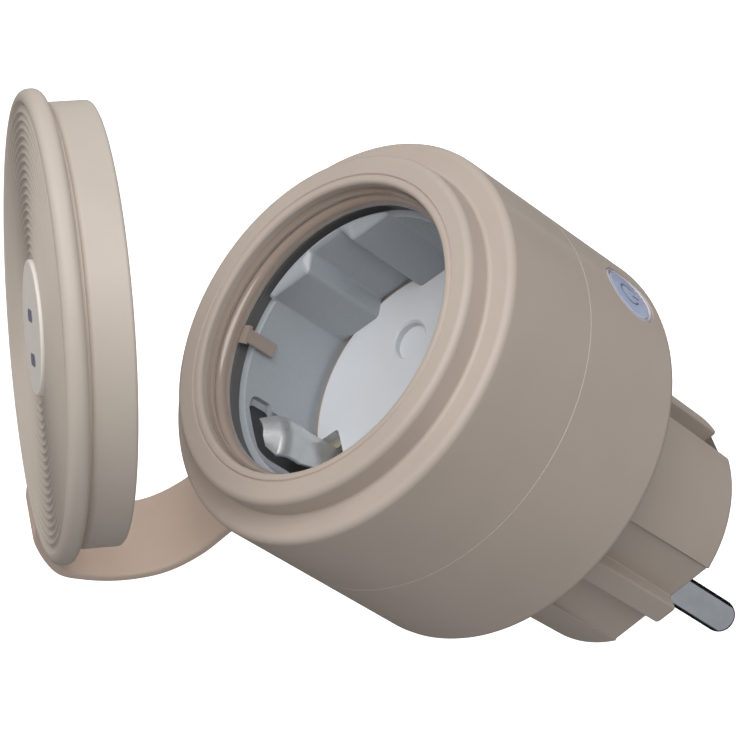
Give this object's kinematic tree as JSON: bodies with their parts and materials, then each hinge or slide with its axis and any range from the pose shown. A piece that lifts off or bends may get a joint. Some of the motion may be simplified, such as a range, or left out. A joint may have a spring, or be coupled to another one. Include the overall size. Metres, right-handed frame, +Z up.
{
  "type": "smart plug",
  "caption": "Round in-line smart plug adaptor: earthed plug with two pins, recessed earthed socket with shutter, push button and a strapped sealing lid.",
  "frame": {"origin": "centre between the two pins on the plug body's end face", "axes": "+Y along the pins out of the plug body, +Z up towards the push button, +X across the pins"},
  "size_m": [0.0617, 0.1377, 0.0804],
  "materials": {
    "shell_taupe": "fine satin moulded plastic",
    "gasket_taupe": "glossy soft plastic",
    "liner_grey": "glossy blue-grey plastic",
    "face_pale": "satin pale grey plastic",
    "shutter_white": "smooth plastic",
    "carrier_ivory": "heat resistant plastic",
    "contact_brass": "stamped sheet",
    "spring_steel": "stamped spring strip",
    "pin_nickel": "nickel plated, polished",
    "board_green": "printed circuit board",
    "relay_blue": "moulded case",
    "part_black": "moulded case",
    "fuse_ceramic": "glazed body",
    "shield_can": "tinned shield",
    "button_lens": "translucent pale blue plastic",
    "bezel_lilac": "translucent ring",
    "seal_grey": "silicone",
    "lid_taupe": "satin moulded plastic",
    "strap_taupe": "soft flexible plastic"
  },
  "bodies": {
    "housing": {"front_shell": "shell_taupe", "rear_shell": "shell_taupe", "shell_seal": "seal_grey", "throat_ring": "gasket_taupe", "socket_liner": "liner_grey", "socket_face": "face_pale", "face_ring": "gasket_taupe", "shutter_spring": "spring_steel", "contact_carrier": "carrier_ivory", "live_contact": "contact_brass", "neutral_contact": "contact_brass", "earth_strip_top": "spring_steel", "earth_strip_bottom": "spring_steel", "plug_body": "shell_taupe", "live_pin": "pin_nickel", "neutral_pin": "pin_nickel", "plug_screws": "spring_steel", "main_board": "board_green", "relay": "relay_blue", "capacitor": "part_black", "fuse": "fuse_ceramic", "power_module": "part_black", "control_board": "board_green", "radio_module": "shield_can", "button_switch": "part_black", "status_led": "button_lens", "button_ring": "bezel_lilac", "button_seal": "seal_grey", "strap_anchor": "strap_taupe"},
    "strap_rear_part": {"strap_rear": "strap_taupe"},
    "strap_front_part": {"strap_front": "strap_taupe"},
    "lid": {"lid_cover": "lid_taupe", "lid_cap": "lid_taupe", "lid_gasket": "seal_grey", "lid_badge": "lid_taupe", "strap_lug": "strap_taupe"},
    "button": {"button_cap": "button_lens", "switch_plunger": "part_black"},
    "shutter_slide": {"shutter": "shutter_white"},
    "clip_top": {"earth_clip_top": "spring_steel"},
    "clip_bottom": {"earth_clip_bottom": "spring_steel"}
  },
  "joints": [
    {"name": "lid_open", "type": "hinge", "parent": "housing", "child": "strap_rear_part", "pos_m": [-0.00297, -0.0533, -0.03086], "axis": [0.9954, 0, -0.0958], "range_deg": [-28.54, 4], "stiffness_Nm_per_rad": 0.12},
    {"name": "strap_fold", "type": "hinge", "parent": "strap_rear_part", "child": "strap_front_part", "pos_m": [-0.00489, -0.0663, -0.05076], "axis": [0.9954, 0, -0.0958], "range_deg": [-55.07, 7.72]},
    {"name": "lid_tilt", "type": "hinge", "parent": "strap_front_part", "child": "lid", "pos_m": [-0.00463, -0.0728, -0.04808], "axis": [0.9954, 0, -0.0958], "range_deg": [-5.65, 40.31]},
    {"name": "button_press", "type": "slide", "parent": "housing", "child": "button", "axis": [0, 0, -1], "range_m": [0, 0.0005], "stiffness_N_per_m": 1500},
    {"name": "shutter_open", "type": "slide", "parent": "housing", "child": "shutter_slide", "axis": [0.1132, 0, 0.9936], "range_m": [0, 0.0064], "stiffness_N_per_m": 120, "deforming": ["shutter_spring"]},
    {"name": "clip_top_flex", "type": "hinge", "parent": "housing", "child": "clip_top", "pos_m": [0.00192, -0.0433, 0.01689], "axis": [-0.9936, 0, 0.1132], "range_deg": [0, 4], "stiffness_Nm_per_rad": 0.4},
    {"name": "clip_bottom_flex", "type": "hinge", "parent": "housing", "child": "clip_bottom", "pos_m": [-0.00192, -0.0433, -0.01689], "axis": [0.9936, 0, -0.1132], "range_deg": [0, 4], "stiffness_Nm_per_rad": 0.4}
  ],
  "couplings": [
    {"joint": "strap_fold", "follows": "lid_open", "ratio": 1.9299},
    {"joint": "lid_tilt", "follows": "lid_open", "ratio": -1.4125}
  ]
}
